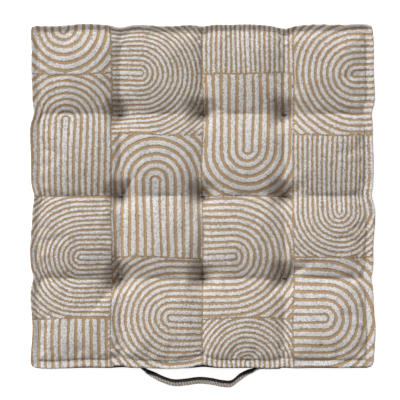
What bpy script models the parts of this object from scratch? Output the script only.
"""A square tufted floor cushion with a carrying handle on its front wall.

The cover is a top panel, four side panels and a bottom panel. Their seams are pinched into a padded lip that
runs round the top and the bottom. Inside are a fibre core and two layers of wadding, pulled together at nine
tufts by loops of twine, each held under the cushion by a two-hole button.

Metres, +Z up, the floor at Z = 0. The handle faces -Y. The origin is the centre of the footprint, handle included.
"""

import math

import bmesh
import bpy
from mathutils import Vector
from mathutils.geometry import delaunay_2d_cdt

# Cushion
SIDE = 0.584
HALF = SIDE / 2
CROWN = 0.125
STITCH_INSET = 0.012
TUFTS_A_SIDE = 3
PITCH = (SIDE - 2 * STITCH_INSET) / (TUFTS_A_SIDE + 1)
CORNER_RADIUS = 0.009
LEAST_RADIUS = 0.002
GAP = 0.0003
FABRIC = 0.0015
WALL = 0.002
WADDING = 0.008

# How far the top falls from its crown, and the underside rises from the floor, at each kind of hollow
TOP_FALL = {"tuft": 0.042, "crease": 0.013, "edge": 0.013}
BASE_RISE = {"tuft": 0.020, "crease": 0.006, "edge": 0.0075}
BASE_FLAT = 0.0020
HOLLOW_REACH = 0.055
HOLLOW_BLEND = 3
TOP_SEAT = 0.005
BASE_SEAT = 0.011

# Lips: (inset from the outline, height) of the panel's outer face
TOP_LIP = [(0.005, 0.119), (0.0, 0.115)]
BASE_LIP = [(0.005, 0.001), (0.0, 0.0055)]
TOP_ROLL = [(0.0100, 0.1080), (0.0052, 0.1169), (0.0029, 0.1135), (0.0075, 0.1065)]
BASE_ROLL = [(0.0105, 0.0085), (0.0052, 0.0035), (0.0029, 0.0070), (0.0075, 0.0135)]
WALL_PROFILE = [
    (0.0, 0.1130),
    (0.0050, 0.1060),
    (0.0020, 0.0880),
    (0.0, 0.0555),
    (0.0020, 0.0300),
    (0.0050, 0.0150),
    (0.0, 0.0080),
]
CORE_RINGS = [(0.0080, 0.0215, 0.0915), (0.0052, 0.0320, 0.0800)]

# Tufts
NEEDLE_SPREAD = 0.0032
NEEDLE_HOLE = 0.0014
TWINE_RADIUS = 0.001
TWINE_BEND = 0.0012
BUTTON_RADIUS = 0.009
BUTTON_THICKNESS = 0.003
BUTTON_SIDES = 12
TUFT_SHOULDER = 0.028
TUFT_SIDES = 8

# Handle: BOW is how far the middle of the strap stands off the wall at each place along X
WEBBING_WIDTH = 0.030
WEBBING_THICKNESS = 0.0025
STRAP_WIDTH = 0.026
STRAP_THICKNESS = 0.0015
STRAP_TOP = 0.070
STRAP_LEAN = math.radians(14)
FULL_LEAN_REACH = 0.012
SEWN_END = 0.030
BOW_END = 0.103
BOW_GAP = 0.0005
BOW = [
    (-0.103, 0.0),
    (-0.090, 0.0045),
    (-0.070, 0.0150),
    (-0.050, 0.0215),
    (-0.030, 0.0205),
    (-0.006, 0.0165),
    (0.016, 0.0200),
    (0.034, 0.0235),
    (0.050, 0.0215),
    (0.063, 0.0120),
    (0.078, 0.0030),
    (0.103, 0.0),
]
BOW_STATIONS = 30

PRINT_TAN = (0.44, 0.30, 0.17)
PRINT_WHITE = (0.66, 0.62, 0.59)
BLACK_CLOTH = (0.012, 0.012, 0.013)
FIBRE_WHITE = (0.82, 0.82, 0.80)
TWINE_BROWN = (0.05, 0.035, 0.022)


def clear_scene():
    for obj in list(bpy.data.objects):
        bpy.data.objects.remove(obj, do_unlink=True)


def make_material(name, colour, roughness):
    material = bpy.data.materials.new(name)
    material.use_nodes = True
    shader = material.node_tree.nodes["Principled BSDF"]
    shader.inputs["Base Color"].default_value = (*colour, 1.0)
    shader.inputs["Roughness"].default_value = roughness
    shader.inputs["Metallic"].default_value = 0.0
    return material


def make_empty(name, location, parent=None):
    empty = bpy.data.objects.new(name, None)
    empty.location = location
    empty.parent = parent
    bpy.context.scene.collection.objects.link(empty)
    return empty


def make_object(name, mesh, material, parent, location=(0, 0, 0)):
    obj = bpy.data.objects.new(name, mesh)
    mesh.materials.clear()
    mesh.materials.append(material)
    obj.location = location
    obj.parent = parent
    bpy.context.scene.collection.objects.link(obj)
    return obj


def mesh_of(name, points, faces, smooth_below=math.radians(35)):
    mesh = bpy.data.meshes.new(name)
    bm = bmesh.new()
    verts = [bm.verts.new(p) for p in points]
    for face in faces:
        bm.faces.new([verts[i] for i in face])
    bmesh.ops.recalc_face_normals(bm, faces=bm.faces)
    bm.to_mesh(mesh)
    bm.free()
    mesh.shade_smooth()
    mesh.set_sharp_from_angle(angle=smooth_below)
    return mesh


def loop_strip(first, second):
    """Quads between two closed loops of vertex numbers of the same length."""
    count = len(first)
    return [(first[i], first[(i + 1) % count], second[(i + 1) % count], second[i]) for i in range(count)]


# The shape of the cushion


def tuft_centres():
    middle = (TUFTS_A_SIDE - 1) / 2
    steps = [(i - middle) * PITCH for i in range(TUFTS_A_SIDE)]
    return [(x, y) for y in steps for x in steps]


def falloff(distance):
    """1 in the bottom of a hollow, 0 beyond its reach."""
    return max(0.0, 1 - max(0.0, distance) / HOLLOW_REACH) ** 2


def hollow(x, y, depths, seat):
    """How deep the surface is at a place, from its nearest tuft, crease and stitched edge."""
    lines = sorted({c[0] for c in tuft_centres()})
    to_tuft = min(math.dist((x, y), c) for c in tuft_centres())
    to_crease = min(min(abs(x - line), abs(y - line)) for line in lines)
    to_edge = HALF - STITCH_INSET - max(abs(x), abs(y))
    parts = {"tuft": to_tuft - seat, "crease": to_crease, "edge": to_edge}
    total = sum((depths[k] * falloff(d)) ** HOLLOW_BLEND for k, d in parts.items())
    return total ** (1 / HOLLOW_BLEND)


def top_height(x, y):
    return CROWN - hollow(x, y, TOP_FALL, TOP_SEAT)


def base_height(x, y):
    return max(0.0, hollow(x, y, BASE_RISE, BASE_SEAT) - BASE_FLAT)


def ring(inset):
    """The cushion's rounded square outline in plan, anticlockwise, that far in from its edge."""
    half = HALF - inset
    radius = max(LEAST_RADIUS, CORNER_RADIUS - inset)
    cut = (1 - math.sqrt(0.5)) * radius
    steps = [i * PITCH / 4 for i in range(-6, 7)]
    points = []
    for turn in range(4):
        side = [(t, -half) for t in (radius - half, *steps, half - radius)] + [(half - cut, cut - half)]
        for _ in range(turn):
            side = [(-y, x) for x, y in side]
        points += side
    return points


def square(x, y, half):
    return [(x - half, y - half), (x + half, y - half), (x + half, y + half), (x - half, y + half)]


def needle_holes(x, y):
    return [square(x + side * NEEDLE_SPREAD, y, NEEDLE_HOLE) for side in (-1, 1)]


def circle(x, y, radius, count, turn=0.0):
    angles = [2 * math.pi * i / count + turn for i in range(count)]
    return [(x + radius * math.cos(a), y + radius * math.sin(a)) for a in angles]


class Plan:
    """A triangulated outline with holes, seen from above."""

    def __init__(self, outline, holes, inner):
        loops = [outline, *holes]
        points = [Vector(p) for loop in loops for p in loop] + [Vector(p) for p in inner]
        edges, starts, start = [], [], 0
        for loop in loops:
            starts.append(range(start, start + len(loop)))
            edges += [(start + i, start + (i + 1) % len(loop)) for i in range(len(loop))]
            start += len(loop)
        verts, _, faces, origins, _, _ = delaunay_2d_cdt(points, edges, [], 0, 1e-7)
        found = {source: i for i, sources in enumerate(origins) for source in sources}
        self.points = [tuple(v) for v in verts]
        self.loops = [[found[i] for i in loop] for loop in starts]
        self.faces = [f for f in faces if not any(self.inside(f, hole) for hole in holes)]

    def inside(self, face, hole):
        x = sum(self.points[i][0] for i in face) / len(face)
        y = sum(self.points[i][1] for i in face) / len(face)
        xs, ys = zip(*hole)
        return min(xs) < x < max(xs) and min(ys) < y < max(ys)

    def solid(self, name, low, high, rings=()):
        """A closed mesh between two surfaces, carried on outwards through rings of (inset, low, high)."""
        points, faces, outer = [], [], []
        for level, height in enumerate((low, high)):
            start = len(points)
            points += [(x, y, height(x, y)) for x, y in self.points]
            faces += [tuple(start + i for i in f) for f in self.faces]
            edge = [start + i for i in self.loops[0]]
            for inset, *heights in rings:
                following = range(len(points), len(points) + len(edge))
                points += [(x, y, heights[level]) for x, y in ring(inset)]
                faces += loop_strip(edge, following)
                edge = following
            outer.append(edge)
        faces += loop_strip(*outer)
        for loop in self.loops[1:]:
            faces += loop_strip(loop, [i + len(points) // 2 for i in loop])
        return mesh_of(name, points, faces)


def cushion_plan():
    """The cushion inside its stitched edge, with points where the surface bends and two needle holes a tuft."""
    inner, holes = [], []
    for x, y in tuft_centres():
        holes += needle_holes(x, y)
        inner += circle(x, y, BASE_SEAT, TUFT_SIDES, math.pi / TUFT_SIDES)
        inner += circle(x, y, TUFT_SHOULDER, TUFT_SIDES)
    half_steps = [(i - TUFTS_A_SIDE) * PITCH / 2 for i in range(2 * TUFTS_A_SIDE + 1)]
    on_lines = {c[0] for c in tuft_centres()}
    for x in half_steps:
        for y in half_steps:
            if x in on_lines and y in on_lines:
                continue
            inner.append((x, y))
            if x not in on_lines and y not in on_lines:
                inner += square(x, y, PITCH / 4)
    return Plan(ring(STITCH_INSET), holes, inner)


# Cover, lips and filling


def make_panels(plan, materials, parent):
    def top_under(x, y):
        return top_height(x, y) - FABRIC

    def base_over(x, y):
        return base_height(x, y) + FABRIC

    top_rings = [(inset, z - FABRIC, z) for inset, z in TOP_LIP]
    base_rings = [(inset, z, z + FABRIC) for inset, z in BASE_LIP]
    top = plan.solid("top_panel", top_under, top_height, top_rings)
    base = plan.solid("bottom_panel", base_height, base_over, base_rings)
    make_object("top_panel", top, materials["print"], parent)
    make_object("bottom_panel", base, materials["black"], parent)


def make_filling(plan, materials, parent):
    def wadding_top(x, y):
        return top_height(x, y) - FABRIC - GAP

    def wadding_base(x, y):
        return base_height(x, y) + FABRIC + GAP

    def core_top(x, y):
        return wadding_top(x, y) - WADDING - GAP

    def core_base(x, y):
        return wadding_base(x, y) + WADDING + GAP

    layers = {
        "top_wadding": (lambda x, y: wadding_top(x, y) - WADDING, wadding_top, ()),
        "bottom_wadding": (wadding_base, lambda x, y: wadding_base(x, y) + WADDING, ()),
        "fibre_core": (core_base, core_top, CORE_RINGS),
    }
    for name, (low, high, rings) in layers.items():
        make_object(name, plan.solid(name, low, high, rings), materials["fibre"], parent)


def make_edge_roll(name, section, material, parent):
    """The roll of wadding inside a lip: its section carried round the outline."""
    loops = [[(x, y, z) for x, y in ring(inset)] for inset, z in section]
    count = len(loops[0])
    points = [p for loop in loops for p in loop]
    numbers = [range(k * count, (k + 1) * count) for k in range(len(loops))]
    faces = []
    for k in range(len(loops)):
        faces += loop_strip(numbers[k], numbers[(k + 1) % len(loops)])
    make_object(name, mesh_of(name, points, faces), material, parent)


def wall_outline(inset):
    """One side of the outline in plan, from a gap beside the middle of one corner to the next."""
    radius = max(LEAST_RADIUS, CORNER_RADIUS - inset)
    centre = HALF - inset - radius
    corner = [math.radians(a) for a in (45, 67.5, 90)]
    left = [(-centre - radius * math.cos(a), -centre - radius * math.sin(a)) for a in corner]
    left[0] = (left[0][0] + GAP, left[0][1])
    middle = [(i * PITCH, inset - HALF) for i in (-1, 0, 1)]
    return left + middle + [(-x, y) for x, y in reversed(left)]


def make_side_panel(name, turns, material, parent):
    """A wall: a sheet with the wall's profile, swept along one side, and turned to its place."""
    outer = [[(x, y, z) for x, y in wall_outline(inset)] for inset, z in WALL_PROFILE]
    inner = [[(x, y, z) for x, y in wall_outline(inset + WALL)] for inset, z in WALL_PROFILE]
    rows, columns = len(outer), len(outer[0])
    points = [p for row in outer + inner for p in row]
    for _ in range(turns):
        points = [(-y, x, z) for x, y, z in points]

    def number(side, row, column):
        return (side * rows + row) * columns + column

    faces = []
    for side in (0, 1):
        for r in range(rows - 1):
            for c in range(columns - 1):
                faces.append([number(side, r + dr, c + dc) for dr, dc in ((0, 0), (0, 1), (1, 1), (1, 0))])
    border = [(0, c) for c in range(columns)] + [(r, columns - 1) for r in range(1, rows)]
    border += [(rows - 1, c) for c in range(columns - 2, -1, -1)] + [(r, 0) for r in range(rows - 2, 0, -1)]
    faces += loop_strip([number(0, *b) for b in border], [number(1, *b) for b in border])
    make_object(name, mesh_of(name, points, faces), material, parent)


# Tufts


def make_tuft(number, x, y, button_mesh, materials, parent):
    """A loop of twine through both needle holes, over the top panel and under the button."""
    button_top = base_height(x, y) - GAP
    button_base = button_top - BUTTON_THICKNESS
    make_object(f"tuft_button_{number}", button_mesh, materials["black"], parent, (x, y, button_base))
    high = top_height(x, y) + GAP + TWINE_RADIUS
    low = button_base - GAP - TWINE_RADIUS
    path = []
    for corner, (across, up) in enumerate(((1, 1), (-1, 1), (-1, -1), (1, -1))):
        centre_x = across * (NEEDLE_SPREAD - TWINE_BEND)
        centre_z = up * ((high - low) / 2 - TWINE_BEND)
        for angle in [math.pi / 2 * corner + step * math.pi / 4 for step in range(3)]:
            path.append((centre_x + TWINE_BEND * math.cos(angle), centre_z + TWINE_BEND * math.sin(angle)))
    curve = bpy.data.curves.new(f"tuft_twine_{number}", "CURVE")
    curve.dimensions = "3D"
    curve.bevel_depth = TWINE_RADIUS
    curve.bevel_resolution = 1
    spline = curve.splines.new("POLY")
    spline.points.add(len(path) - 1)
    spline.use_cyclic_u = True
    for point, (px, pz) in zip(spline.points, path):
        point.co = (px, 0.0, pz, 1.0)
    make_object(f"tuft_twine_{number}", curve, materials["twine"], parent, (x, y, (high + low) / 2))


def make_tufts(materials, parent):
    plan = Plan(circle(0, 0, BUTTON_RADIUS, BUTTON_SIDES), needle_holes(0, 0), [])
    button = plan.solid("tuft_button", lambda x, y: 0.0, lambda x, y: BUTTON_THICKNESS)
    for number, (x, y) in enumerate(tuft_centres(), 1):
        make_tuft(number, x, y, button, materials, parent)


# Handle


def bow_reach(x):
    """How far the middle of the strap stands off the wall at x: a smooth curve through the points of BOW."""
    k = max(i for i in range(len(BOW) - 1) if BOW[i][0] <= x + 1e-9)
    (x0, y0), (x1, y1) = BOW[k], BOW[k + 1]
    before, after = BOW[max(k - 1, 0)], BOW[min(k + 2, len(BOW) - 1)]
    slope0 = (y1 - before[1]) / (x1 - before[0])
    slope1 = (after[1] - y0) / (after[0] - x0)
    t, span = (x - x0) / (x1 - x0), x1 - x0
    return (
        (2 * t**3 - 3 * t**2 + 1) * y0
        + (t**3 - 2 * t**2 + t) * span * slope0
        + (3 * t**2 - 2 * t**3) * y1
        + (t**3 - t**2) * span * slope1
    )


def strap_mesh(name, stations, width, inner, outer):
    """A flat band through stations of (x, reach, lean), between two depths measured outwards from the reach.

    A lean turns the band about its middle, its upper edge towards the cushion.
    """
    points = []
    for x, reach, lean in stations:
        for side, depth in ((1, inner), (-1, inner), (-1, outer), (1, outer)):
            up = side * width / 2
            y = -(reach + depth * math.cos(lean) - up * math.sin(lean))
            z = up * math.cos(lean) + depth * math.sin(lean) - WEBBING_WIDTH / 2
            points.append((x, y, z))
    faces = [(0, 1, 2, 3), tuple(len(points) - 4 + i for i in range(4))]
    for k in range(len(stations) - 1):
        upper, lower, lower_out, upper_out = range(4 * k, 4 * k + 4)
        for a, b in ((upper, lower), (upper_out, lower_out)):
            faces += [(a, b, b + 4), (a, b + 4, a + 4)]
        for a, b in ((lower, lower_out), (upper_out, upper)):
            faces.append((a, b, b + 4, a + 4))
    return mesh_of(name, points, faces)


def bow_stations():
    half_bow = BOW_END - BOW_GAP
    stations = []
    for i in range(BOW_STATIONS + 1):
        x = half_bow * (2 * i / BOW_STATIONS - 1)
        reach = max(0.0, bow_reach(x))
        stations.append((x, reach + GAP, STRAP_LEAN * min(1.0, reach / FULL_LEAN_REACH)))
    return stations


def make_handle(materials, cushion):
    """The webbing and the printed strap over it: a bow that swings, and two ends that are sewn to the wall."""
    axis_place = (0, -HALF, STRAP_TOP)
    hinge = make_empty("handle_hinge", axis_place, cushion)
    sewn = [(x, GAP, 0.0) for x in (BOW_END, BOW_END + SEWN_END)]
    mirrored = [(-x, reach, lean) for x, reach, lean in reversed(sewn)]
    strap_depth = WEBBING_THICKNESS + GAP
    layers = (
        ("webbing", "black", WEBBING_WIDTH, 0.0, WEBBING_THICKNESS),
        ("strap", "print", STRAP_WIDTH, strap_depth, strap_depth + STRAP_THICKNESS),
    )
    for kind, slot, *section in layers:
        bow = strap_mesh(f"handle_{kind}", bow_stations(), *section)
        make_object(f"handle_{kind}", bow, materials[slot], hinge)
        for side, stations in (("left", mirrored), ("right", sewn)):
            name = f"{kind}_end_{side}"
            make_object(name, strap_mesh(name, stations, *section), materials[slot], cushion, axis_place)


def centre_footprint(cushion):
    """Moves the cushion along Y, so that the handle counts in the footprint whose centre is the origin."""
    bpy.context.view_layer.update()
    corners = [o.matrix_world @ Vector(c) for o in bpy.data.objects if o.type == "MESH" for c in o.bound_box]
    cushion.location.y = -(min(c.y for c in corners) + max(c.y for c in corners)) / 2


def build():
    clear_scene()
    materials = {
        "print": make_material("printed_cloth", [(a + b) / 2 for a, b in zip(PRINT_TAN, PRINT_WHITE)], 0.9),
        "black": make_material("black_cloth", BLACK_CLOTH, 0.85),
        "fibre": make_material("polyester_fibre", FIBRE_WHITE, 0.95),
        "twine": make_material("waxed_twine", TWINE_BROWN, 0.7),
    }
    cushion = make_empty("cushion_centre", (0, 0, 0))
    plan = cushion_plan()
    make_panels(plan, materials, cushion)
    for turns, name in enumerate(("front", "right", "back", "left")):
        make_side_panel(f"side_panel_{name}", turns, materials["print"], cushion)
    make_edge_roll("top_edge_roll", TOP_ROLL, materials["fibre"], cushion)
    make_edge_roll("bottom_edge_roll", BASE_ROLL, materials["fibre"], cushion)
    make_filling(plan, materials, cushion)
    make_tufts(materials, cushion)
    make_handle(materials, cushion)
    centre_footprint(cushion)


build()
